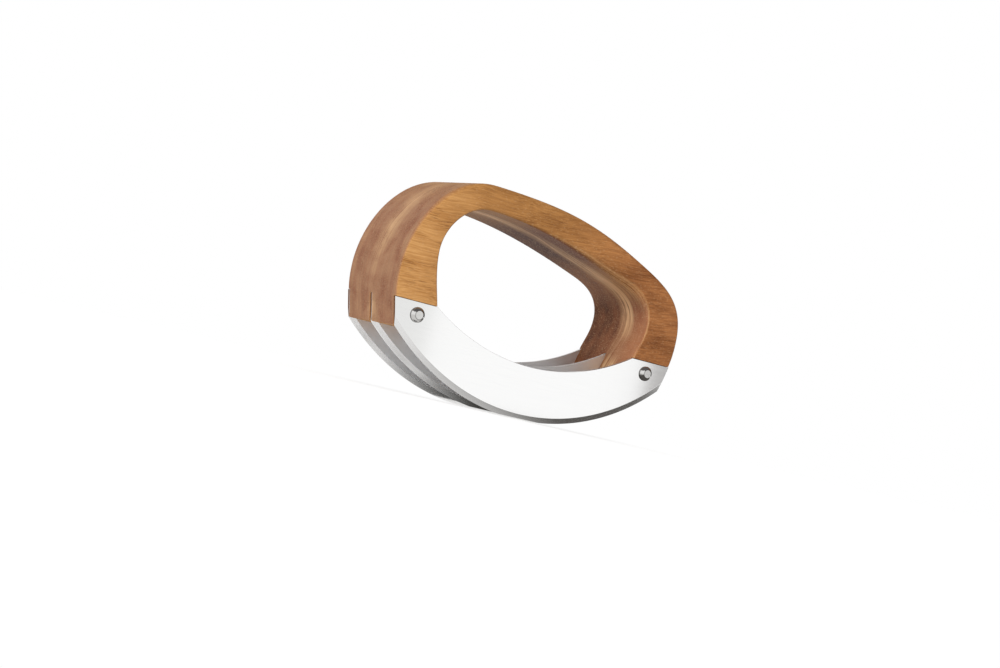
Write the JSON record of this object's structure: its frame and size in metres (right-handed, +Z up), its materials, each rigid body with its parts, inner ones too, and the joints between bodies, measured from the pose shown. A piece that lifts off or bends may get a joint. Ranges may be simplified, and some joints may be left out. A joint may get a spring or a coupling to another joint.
{
  "type": "mezzaluna",
  "caption": "Rocking herb chopper with parallel crescent blades riveted under an arched, lopsided wooden grip.",
  "frame": {"origin": "the point where the middle blade's cutting edge touches a flat board with the chopper upright, at the middle of the blades' length", "axes": "+X along the blades, towards the low end of the grip; +Y across the blades, from front to rear; +Z up, from the cutting edges to the grip"},
  "size_m": [0.1526, 0.0484, 0.0975],
  "materials": {
    "handle_wood": "oiled acacia, satin",
    "blade_steel": "polished stainless steel",
    "rivet_steel": "polished stainless steel"
  },
  "bodies": {
    "root": {"handle": "handle_wood", "front_blade": "blade_steel", "middle_blade": "blade_steel", "rear_blade": "blade_steel", "left_rivet_barrel": "rivet_steel", "left_rivet_pin": "rivet_steel", "right_rivet_barrel": "rivet_steel", "right_rivet_pin": "rivet_steel"}
  },
  "joints": []
}
